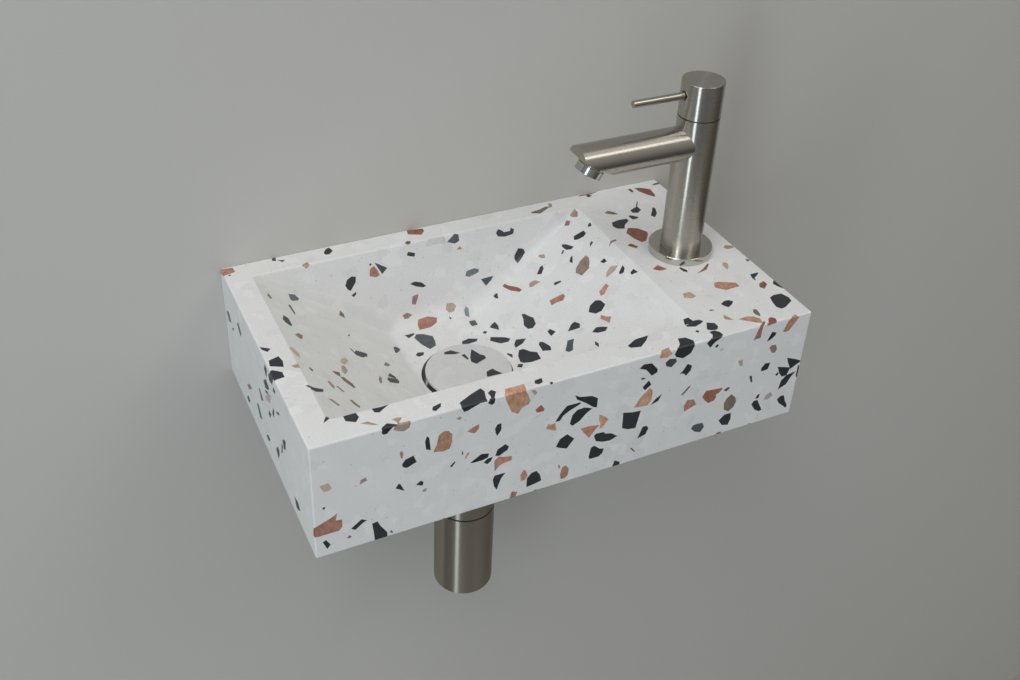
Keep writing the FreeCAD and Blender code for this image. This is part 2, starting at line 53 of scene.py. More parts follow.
front_chips = {
    "charcoal": """
        -135,59 -134,57.5 -132,57.5 -127.5,62 -128,63.5 -134,63.5
        -84.5,63.5 -82,58 -80,58 -72,61 -66.5,63.5
        -66,59.5 -63.5,57.5 -62,58.5 -61.5,61.5 -64,63.5
        -106.5,46.5 -105,44.5 -104,35 -107,36.5 -107.5,42.5
        -122.5,29.5 -120.5,32.5 -115.5,34 -113.5,28.5 -119.5,26 -122,27.5
        -127,11.5 -125,14.5 -124,13.5 -121.5,7.5 -124,9.5
        -113.5,9.5 -110.5,11.5 -109,10 -109.5,7.5
        -156.5,-11 -153,-8.5 -150,-6 -146.5,-8 -149,-9 -154,-13
        -175,-15.5 -173,-14.5 -170.5,-19 -172.5,-22
        -143,-12.5 -139.5,-12 -138,-16 -133.5,-23.5 -133.5,-28.5 -141.5,-28.5 -142,-19.5
        -91,16.5 -88,19.5 -87.5,18.5 -89.5,16
        -77,14.5 -72,17.5 -69.5,19 -64.5,18 -65,15 -69,14 -75,14
        -67.5,11.5 -65,13.5 -61.5,14 -63,11 -65,9.5
        -60.5,37 -59,40 -56.5,40 -56.5,35 -59,31 -60,34
        -17.5,28.5 -14.5,33.5 -10,39 0,39 -0.5,37.5 -8,34.5 -12,32 -14,28.5
        -4.5,46 -0.5,43.5 8,41.5 12.5,38.5 12.5,31 10,32 4,37.5 -2.5,42
        -59.5,14.5 -58,19 -53,21.5 -50.5,19 -51.5,16.5 -57,13.5
        -60.5,-6 -59.5,-3 -52,-3 -55,-7 -56.5,-11.5 -57.5,-15.5 -59.5,-12
        -35.5,-21.5 -35.5,-14 -32.5,-10.5 -29,-10 -26.5,-14 -25,-19.5 -29.5,-20.5
        -15.5,6.5 -13,12 -8,14.5 -2.5,9 -5,6 -7.5,2.5 -12,4.5
        13,6 14.5,7.5 20,7 21.5,5 26,4 31,0 25.5,-2 20,-1 15,1
        10.5,-11.5 11.5,-4 14,-3 18,-7 21.5,-8 20.5,-11.5 18,-13.5 11.5,-13.5
        44.5,44 45.5,45 48,44 46.5,43.5
        -6.5,23.5 -5,30 -2,33 3,33.5 9,31 4,27.5 0.5,23.5 -4.5,21
        42.5,53.5 45.5,56 51.5,55 56.5,49 56.5,46.5 52.5,45 50,48.5 48,51
        47,37 51,41 53,37 49,34 48,35
        55,19 58.5,23 63,26 60.5,21 57.5,20
        34,19 41,17 47.5,16.5 45,2.5 39,3.5 34.5,6
        48,-8 51,1 54,1 55.5,-1.5 54,-6
        30,-28.5 31.5,-22.5 35.5,-25 35.5,-28.5
        69,57.5 71.5,63.5 83.5,63.5 83.5,59.5 81.5,55 76,52.5 70.5,55
        75.5,39.5 77.5,41 80.5,46 84,43.5 83.5,40 80.5,36.5 78.5,39
        94,59.5 95.5,61 100.5,63.5 105.5,63.5 105,61 100,58.5 97,55
        101,54.5 102.5,56 103.5,55 102.5,53.5
        145,46.5 147,51 148,53.5 151.5,52 151,50 148,47.5
        145,23.5 147.5,26.5 151.5,26 150.5,21 147,20.5 145,21
        135.5,19 137.5,18.5 139,13 137.5,13.5
        166.5,26 174,22.5 179,20 179,19 171.5,15 168.5,21
        159.5,20 166.5,17.5 171,16 169,10 165,10 162.5,13.5
        159,13.5 160.5,15 161.5,13.5 160,12
        164,-2 165.5,6 169,9.5 177,11 173,6.5 170.5,1.5 166,-0.5
        178,16 179.5,14.5 179.5,5 178,6.5
        115.5,-14.5 120,-10.5 125,-11 125.5,-16 124,-21 119,-19.5
        145,-4 146,-1.5 148,-0.5 147.5,-4
        142.5,-8.5 144,-6 147,-6 152.5,-16.5 150,-17 146,-14
        165.5,-11.5 168,-9 171,-9.5 172.5,-14.5 175.5,-19.5 175,-22 171,-18 168,-15.5
        -173.8,12.5 -173,13.4 -172.2,12.6 -173,11.7
        -23.3,61.5 -22.5,62.6 -21.7,61.6 -22.5,60.8
        -30,-28.5 -29.4,-26.6 -28,-27 -27.8,-28.5
        143,-28.5 143.8,-26.8 145,-27.2 145.2,-28.5""",
    "slate": """
        92.5,-14.5 93.5,-12 96.5,-11.5 101,-12 103,-16 100.5,-20 96,-18
        62.5,52.5 65.5,54.5 70,53.5 71,51 67.5,47.5 63.5,49.5
        115,13 118.5,14.5 120,13.5 117.5,11.5
        -131.5,-24.5 -130.5,-23 -129.5,-25.5""",
    "amber": """
        -95.5,46.5 -92.5,46 -90,42.5 -90,37 -91.5,32 -95.5,31 -102,32.5 -99.5,38.5 -98.5,44.5
        -55,63.5 -42,63.5 -39,57.5 -37,52 -38,50 -42.5,48.5 -45,44.5 -49.5,47.5 -51.5,52.5 -54,59
        -10.5,-19.5 -9.5,-14 -7,-13 -4.5,-17 -5,-22 -7,-24 -10,-23.5
        -13,-11 -12,-10.5 -11,-13.5 -12,-13.5
        57,58 58.5,61.5 61,63.5 63.5,63.5 66.5,58.5 63,57 59,57.5
        -24,25 -22.5,28.5 -21.5,27 -18,27.5 -16.5,21 -20,22.5
        15.5,23.5 19,21 22.5,17.5 21.5,16 18,11 16.5,12.5 17,16 15.5,18.5
        -40.5,-9.5 -38.5,-5.5 -37,-7 -35.5,-11.5 -37.5,-14.5 -40,-14.5
        42,21 46.5,28.5 52.5,34 55,31 55,23.5 52.5,20
        -81,20 -79,23.5 -78,23 -80,19.5""",
    "terracotta": """
        -79.5,41.5 -76.5,43 -72,44.5 -72,41.5 -74.5,38.5 -76.5,39.5
        -180.5,-4 -179.5,-1.5 -169.5,2.5 -165,5 -166.5,-0.5 -162.5,-1 -162.5,-7 -164.5,-9.5 -180.5,-9.5
        -60,10 -57,12.5 -54,11 -48,10 -48,6.5 -54.5,6 -57.5,4 -59.5,1
        2,16 8,16 16,14.5 13,11.5 9,6 5.5,11
        -48,-28.5 -46.5,-22 -42.5,-23.5 -44,-28.5
        157.5,51.5 160.5,59 165,63.5 169,60 166.5,56.5 162.5,51 160,50.5
        133,51 135.5,58.5 137.5,63.5 139,63.5 138.5,51.5 135.5,51.5
        142,60 143.5,63.5 150.5,63.5 149.5,61
        83,9 85,13.5 90,12.5 93,7.5 90,6.5 86,5 84,4""",
    "rust": """
        -32.5,43.5 -29,46 -26.5,42 -27,40.5 -31.5,41
        97.5,12.5 100,17 113,15.5 113,14 111,12 108.5,11 109,9 108,6.5 103.5,5.5 100.5,8.5
        114,-28.5 116,-26 119.5,-26 118,-28.5""",
    "sand": """
        -127.5,59 -124.5,57 -121,56 -118,57.5 -117,60.5 -117.5,63 -126,63
        -87,54 -85,52.5 -83.5,53.5 -85,55
        -124,39 -123,40.5 -122,38.5 -122.5,34.5 -123.5,36
        -109.5,2.5 -108,4 -106.5,3.5 -107.5,1.5
        -96.5,-28.5 -94.5,-26.5 -94,-28.5""",
    "brown": """
        -159.5,-18 -158,-16.5 -157,-18 -158,-18.5
        -83,26 -82.5,26 -82,24 -83,23.5""",
    "olive": """
        117.5,0 119,4 122.5,7 126.5,2.5 127.5,-1 126,-5.5 122.5,-8 118.5,-5.5
        79,20 83.5,25 85.5,26.5 85,24.5 81,20
        43,-15.5 44.5,-15.5 47.5,-19.5 46,-19""",
    "mauve": """
        148.5,40 150,41.5 153.5,41 155,37 154,34.5 151.5,35 150,37.5
        -150,23.5 -149,26.5 -146.5,27.5 -145.5,25""",
    "blush": """
        -36.5,60 -34,59.5 -32.5,57 -34,56 -35.5,58.5
        123,36 126.5,36 127.5,31 125.5,31
        153,-7.5 154,-4 157.5,-2 160,-6 156.5,-8
        -174.5,31 -169.5,31.5 -167.5,27 -168.5,26 -172,25.5 -173.5,28.5""",
    "ghost": """
        -139,44 -135,42.5 -131.5,38.5 -131.5,33.5 -134.5,36.5
        -127.5,-17 -124,-12 -122.5,-13.5 -123,-22 -127.5,-22
        105,51 107.5,52 108.5,50 106.5,49
        -34,36 -29.5,38.5 -29.5,37.5""",
}

rim_chips = {
    "charcoal": """
        150,-6.5 152.5,-7 152.5,-11.5 150.5,-11.5
        113,-4 115.5,-2 117.5,-4.5 114.5,-6
        134.5,-37 139.5,-34.5 142.5,-34.5 142.5,-39 138,-42 134.5,-40.5
        141,-34 146.5,-26.5 147,-27 142,-34.5
        128.5,-44.5 130.5,-43.5 135,-48 132.5,-49.5 129,-49.5
        145.5,-49.5 149,-45.5 153,-39.5 154.5,-41 151.5,-48 147,-53
        109.5,-53 111.5,-48 118,-46.5 125,-47 124.5,-50.5 119,-54 116,-59 111,-57
        124.5,-123 126,-122 128,-127 127,-129.5 125,-127
        166.5,-154 168,-149.5 175,-149.5 172,-152 168.5,-154 167,-158
        176,-166.5 177,-164.5 181.5,-160.5 181.5,-174 178.5,-173
        126.5,-173 130.5,-171 134,-171 136,-173.5 133,-176 129,-178 127.5,-175.5
        114,-177 116,-176 118,-177.5
        163.5,-179.5 167.5,-178 173.5,-178.5 175.5,-184.5 174.5,-188.5 166,-193 162.5,-193.5 \
            160.5,-190.5 161.5,-185
        92.5,-180.5 94,-176 96.5,-177.5 97,-182.5 101.5,-183 103,-185.5 100,-187 95,-188.5 89.5,-186.5
        100.5,-194.5 104.5,-188 109,-190.5 109,-194.5 106.5,-197 103,-196.5
        94,-207 98,-204.5 100.5,-201.5 100,-198 104,-197.5 106.5,-200.5 106.5,-204 101.5,-206.5
        91.8,-194 93,-192.8 94.2,-194 93,-195.2
        -164.5,-186.5 -163.5,-184.5 -161,-180.5 -160,-181.5 -160.5,-184
        -152,-185.5 -144.5,-185 -144,-189.5 -147,-193 -152,-190
        -134,-185.5 -128.5,-186 -123.5,-185.5 -128,-188 -131,-190 -133.5,-189
        -135.5,-206.5 -134.5,-204 -130.5,-201.5 -125.5,-204.5 -128.5,-207
        -101,-200.5 -99.5,-198 -94,-196.5 -95.5,-199.5 -99.5,-202
        -83,-200.5 -73.5,-196 -66,-193 -65,-196.5 -67,-203 -66.5,-207 -83.5,-207
        -63.5,-199 -60.5,-197 -58.5,-199.5 -62,-204.5 -64.5,-206.5 -63,-202
        -32.5,-201.5 -31,-199 -26.5,-198.5 -27.5,-202 -30.5,-203
        41.5,-190 49.5,-186 60,-185 55.5,-189.5 49,-194 42.5,-192.5
        69.5,-206.5 74.5,-201.5 76.5,-196 81.5,-197 84.5,-201.5 83,-206.5
        -179,-100 -173.5,-104 -176,-106.5 -178.5,-103
        -178.5,-121.5 -177.5,-116 -171,-114 -170,-119.5 -171,-125.5
        -182,-126.5 -178,-126.5 -173.5,-130.5 -173.5,-135.5 -181,-136.5
        -164,-149 -160.5,-149.5 -157,-154 -155.5,-159 -159.5,-155.5
        -106,-7 -103.5,-3 -100.5,-1.5 -99.5,-6.5 -103,-10 -105.5,-9.5
        -176.8,-10.5 -176,-9.6 -175.2,-10.5 -176,-11.3
        -23.3,-205 -22.5,-203.9 -21.7,-205 -22.5,-206""",
    "slate": """
        -143.5,-3 -142,1 -140,0.5 -141,-4.5
        -139.5,-4 -135,-5.5 -137,-7.5""",
    "rust": """
        156,-7 160.5,-8 167,-13 166,-21 164.5,-25 161,-21 157,-13
        114,-65.5 119,-59.5 125.5,-63 129.5,-70 127,-74.5 122,-80.5 118,-81 115.5,-74.5
        105.5,-81.5 109,-80 112,-85.5 109.5,-87
        106,-116.5 112,-113.5 115.5,-120.5 109.5,-120
        132,-134 139.5,-130.5 147,-125.5 147.5,-126.5 142,-131.5
        164.5,-165.5 167,-162 171.5,-160.5 171.5,-164.5 166.5,-168.5
        142,-207 146.5,-200.5 149,-199.5 151,-201.5 149.5,-207
        107,-2 109,-0.5 126,-0.5 118,-2.5
        -40,-5.5 -38.5,0.5 -27,-2 -27.5,-5.5 -31,-9.5
        -47,-16.5 -44.5,-14.5 -42,-15.5 -44,-18.5""",
    "terracotta": """
        134.5,-154 137,-149 140.5,-149 145.5,-151.5 151.5,-154.5 151.5,-159 140,-159.5
        161.5,-206.5 166.5,-203 167,-207
        -180.5,-0.5 -172,-2 -171.5,-7.5 -180.5,-9.5""",
    "blush": """
        156,-138 156.5,-131.5 159,-128 161,-130.5 159,-134.5
        171,-111.5 174,-109 179,-111.5 178,-114 173,-114
        -145,-195.5 -140.5,-195.5 -135.5,-200.5 -138.5,-199.5""",
    "amber": """
        118.5,-188.5 120.5,-184.5 123.5,-192 120,-190.5
        127,-193 134,-192.5 138,-194 141,-197.5 140,-203 136,-200.5 132,-197
        -52,-199.5 -39.5,-199.5 -40.5,-207 -55.5,-207
        56.5,-206.5 59.5,-203 65,-202 64,-206.5
        -125,-16.5 -121,-14.5 -120.5,-18 -123.5,-22.5 -125,-20.5""",
    "sand": """
        107,-156.5 109,-152 114.5,-152 115.5,-158 111.5,-159
        -126.5,-199.5 -123,-199 -120.5,-200 -123.5,-203 -118.5,-206.5 -124.5,-207 -124.5,-202
        76.5,-9 79.5,-3 81.5,-4.5 79.5,-9
        -166,-126.5 -162,-126 -161,-130.5 -164.5,-129""",
    "brown": """
        173,-6.5 179,-5.5 179.5,-8 174,-8.5
        113.5,-33 117.5,-31 120.5,-34 122.5,-38 119,-37.5 115.5,-35
        94,-74 97,-71 101.5,-70.5 101,-72.5 97,-73
        176,-132 178,-131 179.5,-132.5 177,-134.5""",
    "olive": """
        141.5,-190 143.5,-187 145.5,-188 144.5,-193 143,-195.5 141.5,-192.5
        134.5,-206.5 141.5,-201.5 142,-203 137,-207
        60.5,-10 68,-9.5 75.5,-6.5 76.5,-9 66.5,-14.5 61,-12""",
}

bowl_chips = {
    "charcoal": """
        -144.5,-44.5 -143,-43 -142.5,-53 -143.5,-56.5 -144,-50.5
        -155,-69 -153,-63 -150.5,-65.5 -150.5,-72.5 -151.5,-76 -154.5,-72.5
        -108.5,-62.5 -106,-58.5 -106.5,-61
        -73.5,-64 -72,-56.5 -69.5,-54 -67,-56.5 -69,-59.5 -72.5,-64
        -113,-81 -112,-80.5 -110.5,-84 -108.5,-81 -101,-80.5 -102,-84.5 -107,-88.5 -111,-87.5
        -94,-104.5 -91,-99.5 -88,-102.5 -88.5,-105
        -96.5,-109.5 -94.5,-106.5 -87.5,-105 -87.5,-108 -89,-110.5 -95.5,-112.5
        -163.5,-149.5 -158.5,-150.5 -153,-149 -154.5,-152.5 -159,-154.5 -162.5,-153
        -57,-40.5 -54,-41 -50,-40.5 -50.5,-42.5 -55.5,-45
        -58.5,-66.5 -56,-64.5 -52,-65.5 -53.5,-68.5 -57,-69
        -17.5,-34.5 -17,-31.5 -16,-34
        -22,-68 -20,-64 -14.5,-63 -8.5,-65.5 -10.5,-68 -17,-68.5
        -1.5,-60.5 0,-59 1.5,-60.5 0,-62
        5,-58.5 7,-57.5 9.5,-57.5 9.5,-63 8.5,-67 7,-63
        -0.5,-71.5 1.5,-68 4.5,-71.5 8.5,-77.5 10.5,-82 8.5,-83 4.5,-79.5 1.5,-74.5
        7,-107.5 8,-101.5 10.5,-97.5 13,-99.5 15,-105.5 18,-110.5 17.5,-118 12,-114.5 8.5,-110.5
        3.5,-109.5 5,-108 7,-110.5 5.5,-112.5
        10,-93 10.5,-89.5 13,-87 18,-92.5 14.5,-94
        3,-92.5 4,-92.5 5.5,-96 4.5,-99
        21.5,-113 22,-106 23.5,-104.5 25,-107.5 26.5,-114.5 25.5,-118
        22.5,-80.5 24.5,-75.5 25.5,-70 27,-71.5 28,-76 29.5,-80.5 28.5,-87 25.5,-88.5 23,-86
        31,-101.5 33,-101 34.5,-106.5 31,-107
        40.5,-114.5 44.5,-111.5 47,-111.5 48.5,-116 47,-119 43.5,-116.5
        51,-130.5 54.5,-129.5 57,-132.5 59.5,-136 57,-137.5 53.5,-134.5
        47.5,-141.5 48.5,-139 49,-142.5 48,-145.5
        57.5,-113 60.5,-109 65,-108.5 67,-111.5 67.5,-117.5 63.5,-120 60,-118.5
        87,-102 91.5,-98.5 91,-102 89,-104.5 87,-104
        91.5,-111.5 92,-109.5 94.5,-108.5 95,-113.5 93.5,-112.5
        92.5,-180.5 94,-176 96.5,-177.5 97,-182.5
        83.5,-81 86.5,-80.5 86.5,-84.5 84.5,-84
        70,-59 72,-56.5 73.5,-56.5 72,-59 70.5,-62.5
        85.5,-61 87,-58.5 88.5,-57.5 88.5,-59.5
        53,-67 54.5,-66.5 57.5,-69 57,-70 53.5,-69
        49.5,-46.5 53.5,-43 55.5,-43 54.5,-46.5 51.5,-49.5
        19,-34.5 20.5,-34 22,-34.5 20.5,-39.5 19.5,-37.5
        73,-41.5 73.5,-39 75.5,-41.5 78,-49 76,-49.5 73.5,-46.5
        81.5,-44 83,-40.5 89.5,-42.5 89.5,-46.5 87,-47.5 83.5,-46
        93.5,-42.5 95,-40.5 96.5,-40.5 95.5,-44""",
    "slate": """
        -140,-33 -139,-26 -134.5,-24 -132.5,-27.5 -134,-31 -139.5,-35.5
        -51.5,-46.5 -48.5,-43 -44,-44.5 -38.5,-49.5 -39,-55.5 -40.5,-61 -46,-63.5 -49.5,-56
        -5.5,-45.5 -5,-42.5 -0.5,-43 -1,-49 -5.5,-49
        32,-127.5 34.5,-124.5 36.5,-121.5 40,-124 37,-128 35.5,-131.5 33,-130.5
        69.5,-46.5 71.5,-44.5 72,-46 70,-47.5""",
    "teal_grey": "-4.5,-34.5 -3.5,-30 -1.5,-28.5 -0.5,-30.5 -2.5,-37.5",
    "terracotta": """
        -44,-38.5 -43,-32 -41,-29 -33.5,-28.5 -27,-30.5 -29,-34.5 -35,-38
        60,-125.5 61.5,-123 63,-127.5 65,-130.5 62,-134 61,-129
        69.5,-108 70.5,-104 76.5,-102 76.5,-105.5 71.5,-109
        43.5,-83 44.5,-78 48.5,-79.5 53,-81.5 53,-84.5 50.5,-86.5 47,-84""",
    "rust": "27.5,-32.5 29.5,-32 31.5,-37.5 34.5,-44 35.5,-49 33.5,-49 30,-41.5",
    "brown": """
        68,-73 70,-69.5 74.5,-66.5 79.5,-65.5 80,-69 78.5,-73 75.5,-78 69.5,-79
        -91.5,-89.5 -88.5,-84.5 -86,-86.5 -89,-90
        -138.5,-121.5 -133.5,-120.5 -134.5,-126 -137,-124.5
        -104.5,-32.5 -102.5,-27.5 -100.5,-29.5 -101,-34""",
    "mauve": """
        -152,-86.5 -149,-83 -146.5,-84 -148.5,-89.5 -150,-89.5
        -146.5,-137.5 -145,-136 -143.5,-140.5 -144.5,-145 -146,-141.5
        -153,-159 -150.5,-158.5 -147,-163 -149,-164
        83.5,-24 86.5,-21 88,-24.5 85.5,-27
        90.5,-19.5 95,-18 95.5,-21.5 93.5,-25.5 91.5,-23""",
    "blush": """
        -162.5,-107.5 -159.5,-106 -157,-111 -158,-117.5 -160.5,-113
        -127.5,-105.5 -125.5,-100.5 -122,-97.5 -121,-100.5 -125.5,-107.5
        -131,-118 -129,-111 -126.5,-109 -126,-114.5 -129.5,-120.5
        79.5,-97.5 81.5,-94 85.5,-91.5 89.5,-95.5 85.5,-97.5
        40.5,-52.5 42,-49 45.5,-50.5 47.5,-55.5 44.5,-54.5 42,-54
        57.5,-32.5 58.5,-31.5 61,-34.5 60,-38 58.5,-36""",
    "olive": """
        -157.5,-40.5 -156,-36 -155,-41.5 -156.5,-44
        -104.5,-118 -104,-114 -101.5,-108 -101,-110.5 -103.5,-117.5
        -134.5,-126.5 -132,-125.5 -128.5,-130.5 -127.5,-134.5 -129,-135.5 -133.5,-130.5
        -142,-140.5 -140.5,-140 -138,-144.5 -139.5,-145
        -155,-127.5 -154,-125.5 -153,-128 -154,-130
        -137.5,-153 -135.5,-152.5 -132.5,-157.5 -133.5,-159.5 -136,-156.5""",
    "ghost": "31.5,-29.5 34,-28 35,-32.5 32,-34",
}

bowl_back_chips = {
    "charcoal": """
        -95,39 -93.5,43 -90,45 -87,44 -87.5,40 -91.5,34 -93.5,35.5
        -91,30 -89,31 -87.5,32 -88,30 -89.5,28.5
        -46,52.5 -45,55 -40,53 -40.5,50.5 -43.5,51.5
        -45,28.5 -41,29.5 -36,27.5 -32.5,24 -35,23.5 -40,25.5
        27,55 29,58 31.5,56.5 34,54.5 38.5,54.5 39,57 42,55 41,51.5 34,51 29,52
        42,30.5 42.5,33 45.5,38 48,37.5 50,36.5 50.5,34.5 47,31 43.5,28
        -75.8,51.5 -75,52.4 -74.2,51.5 -75,50.7""",
    "slate": """
        -71.5,52 -69,50.5 -62.5,46 -66.5,42
        -13.5,56.5 -7.5,61.5 -4.5,60.5 -4,55.5 -7.5,54
        13.5,19 23,20 21,17.5 16.5,14""",
    "teal_grey": "0.5,25 1.5,28.5 7.5,29.5 11.5,28 11,25.5 3.5,23.5",
    "terracotta": "-76,42.5 -75.5,47.5 -72.5,49.5 -70,45.5 -68.5,41.5 -71.5,40.5",
    "brown": "-52.5,4 -49,5 -45.5,3 -49,1.5 -51.5,1.5",
    "amber": "-124.5,62.5 -121,62.5 -121,60.5 -123,59",
    "sand": "-17.5,1.5 -16,5 -11.5,4.5 -9,2 -12,-0.5 -16,-0.5",
    "mauve": """
        -44.5,11.5 -43.5,17.5 -40,18.5 -39,17.5 -41.5,10.5
        -6,48.5 -3.5,50.5 -2,48""",
    "ghost": "-31,56 -28.5,62 -16,61.5 -14,55.5 -22,57",
}

left_chips = {
    "charcoal": """
        -152,24 -148.5,23 -143.5,19 -146,13 -149.5,16.5
        -174.5,-14.5 -171,-11 -163,-12.5 -166,-19.5 -171,-17.5
        -132,0.5 -128.5,1 -123.5,-5 -128,-9.5 -131,-4.5
        -135.5,63.5 -128.5,62.5 -121,55.5 -122,51.5 -128.5,53
        -135.5,53 -131,52.5 -129.5,48 -134.5,50
        -118,56.5 -113.5,58 -110.5,52.5 -114.5,48
        -119.5,43 -112,45 -105.5,39 -108.5,35.5 -116,39
        -116,36.5 -107,33 -108.5,31.5 -114.5,34
        -128,30.5 -125.5,31.5 -122,24 -125.5,24
        -143,39 -138.5,38 -133,34 -137,35
        -108.5,-9.5 -103,-9.5 -98,-13.5 -103,-14.5
        -55.5,-16 -51,-14.5 -46,-19.5 -50.5,-21""",
    "slate": """
        -143,13 -140.5,14 -137,2.5 -141,6.5
        -118.5,20.5 -113.5,20 -111,15 -114.5,15
        -98.5,17.5 -92,21.5 -88,20 -93.5,13
        -49.5,39 -43,44 -38.5,40 -45.5,34
        -18.5,28 -13,33 -6,30 -11,24
        -27,28 -19.5,24 -20.5,21.5
        -89.5,-6 -83,1.5 -77,-1 -83.5,-9.5""",
    "brown": "-65.5,3 -58.5,1.5 -50.5,-5 -57,-4.5",
    "blush": "-122,39 -116,35.5 -106,26.5 -108.5,25 -118.5,30",
    "terracotta": "-12,63.5 -2,59 0.5,56 0.5,63.5",
    "rust": "-206,0 -203.5,-4.5 -203,-9.5 -206,-7",
}

# The stones of the mix: the colour of each when cut, that of its veins, and its share among scattered chips.
chip_stones = {
    "charcoal": ((18, 26, 34), (39, 48, 56), 0.46),
    "slate": ((56, 66, 70), (80, 90, 94), 0.09),
    "teal_grey": ((92, 103, 107), (122, 132, 134), 0.02),
    "rust": ((160, 106, 88), (116, 72, 60), 0.11),
    "terracotta": ((186, 139, 119), (140, 95, 81), 0.10),
    "amber": ((208, 166, 138), (150, 102, 76), 0.07),
    "blush": ((196, 172, 163), (172, 144, 134), 0.05),
    "mauve": ((162, 132, 126), (138, 108, 103), 0.02),
    "sand": ((180, 162, 146), (142, 122, 107), 0.04),
    "olive": ((128, 116, 98), (100, 90, 76), 0.02),
    "brown": ((142, 122, 110), (108, 90, 80), 0.01),
    "ghost": ((216, 216, 213), (198, 199, 198), 0.01),
}
dark_stones = "charcoal", "slate", "teal_grey"
dark_polish, plain_polish = 0.9, 0.4
cement_colour = (228, 228, 227)
cement_cloud = (211, 211, 211)
cement_speck = (150, 146, 140)
# Painted shade in the bowl's valleys: faces turned near this direction, on any side, are drawn down to this
# share of their colour.
valley_facing = (0.38, 0.67, 0.64)
valley_painted_shade = 0.88


def paint(red, green, blue):
    """A colour seen on screen, 0 to 255, as the light that Blender reckons with."""
    def light(level):
        level = level / 255
        return level / 12.92 if level <= 0.04045 else ((level + 0.055) / 1.055) ** 2.4

    return (light(red), light(green), light(blue), 1.0)


def node(tree, kind, sockets=None, **options):
    """One shader node. sockets holds plain values and links by socket name or number."""
    made = tree.nodes.new("ShaderNode" + kind)
    for option, value in options.items():
        setattr(made, option, value)
    for key, value in (sockets or {}).items():
        if isinstance(value, bpy.types.NodeSocket):
            tree.links.new(value, made.inputs[key])
        else:
            made.inputs[key].default_value = value
    return made


def mixed(tree, share, first, second):
    return node(tree, "Mix", {0: share, 6: first, 7: second}, data_type="RGBA").outputs[2]


def calc(tree, operation, first, second):
    return node(tree, "Math", {0: first, 1: second}, operation=operation).outputs[0]


def ranged(tree, value, low, high, to_low, to_high):
    return node(tree, "MapRange", {0: value, 1: low, 2: high, 3: to_low, 4: to_high}).outputs[0]


def scaled(tree, vector, factor):
    return node(tree, "VectorMath", {0: vector, "Scale": factor}, operation="SCALE").outputs[0]


def group(name, inputs, outputs):
    """An empty shader group with these sockets: its tree, its input node and its output node."""
    tree = bpy.data.node_groups.new(name, "ShaderNodeTree")
    for direction, sockets in (("INPUT", inputs), ("OUTPUT", outputs)):
        for socket, kind in sockets.items():
            tree.interface.new_socket(socket, in_out=direction, socket_type="NodeSocket" + kind)
    return tree, tree.nodes.new("NodeGroupInput").outputs, tree.nodes.new("NodeGroupOutput").inputs


def placed(tree, shared, sockets):
    """A shared group placed in a material with its own values."""
    return node(tree, "Group", sockets, node_tree=shared).outputs


def finish_of(name, **plain):
    """A new material with a bare Principled shader: the material's tree and that shader's sockets."""
    material = bpy.data.materials.new(name)
    material.use_nodes = True
    sockets = material.node_tree.nodes["Principled BSDF"].inputs
    for key, value in plain.items():
        sockets[key.replace("_", " ")].default_value = value
    return material, material.node_tree, sockets


def feed(tree, sockets, colour, roughness, height, strength, depth):
    """Colour, roughness and fine relief into a Principled shader."""
    tree.links.new(colour, sockets["Base Color"])
    tree.links.new(roughness, sockets["Roughness"])
    relief = node(tree, "Bump", {"Strength": strength, "Distance": depth, "Height": height})
    tree.links.new(relief.outputs[0], sockets["Normal"])


# Cut stone: clouds and veins of a second tone, a fine grain, and each chip a little lighter or darker.
surface = {"Colour": "Color", "Roughness": "Float", "Height": "Float"}
stone_grain, given, put = group(
    "stone_grain",
    {
        "Colour": "Color",
        "Vein Colour": "Color",
        "Cloud Share": "Float",
        "Band Share": "Float",
        "Cloud Scale": "Float",
        "Tone": "Float",
    },
    surface,
)
where = node(stone_grain, "TexCoord").outputs["Object"]
cloud = node(stone_grain, "TexNoise", {"Vector": where, "Scale": given["Cloud Scale"], "Detail": 6.0})
cloud = ranged(stone_grain, cloud.outputs[0], 0.36, 0.66, 0.0, 1.0)
bands = node(stone_grain, "TexWave", {"Vector": where, "Scale": 95.0, "Distortion": 14.0, "Detail": 3.0})
bands = calc(stone_grain, "MULTIPLY", bands.outputs["Fac"], given["Band Share"])
vein = calc(stone_grain, "ADD", calc(stone_grain, "MULTIPLY", cloud, given["Cloud Share"]), bands)
grain = node(stone_grain, "TexNoise", {"Vector": where, "Scale": 1600.0, "Detail": 2.0}).outputs[0]
shade = calc(
    stone_grain,
    "MULTIPLY",
    ranged(stone_grain, given["Tone"], 0.0, 1.0, 0.76, 1.24),
    ranged(stone_grain, grain, 0.3, 0.7, 0.93, 1.07),
)
veined = mixed(stone_grain, vein, given["Colour"], given["Vein Colour"])
stone_grain.links.new(scaled(stone_grain, veined, shade), put["Colour"])
stone_grain.links.new(ranged(stone_grain, cloud, 0.0, 1.0, 0.34, 0.48), put["Roughness"])
stone_grain.links.new(grain, put["Height"])


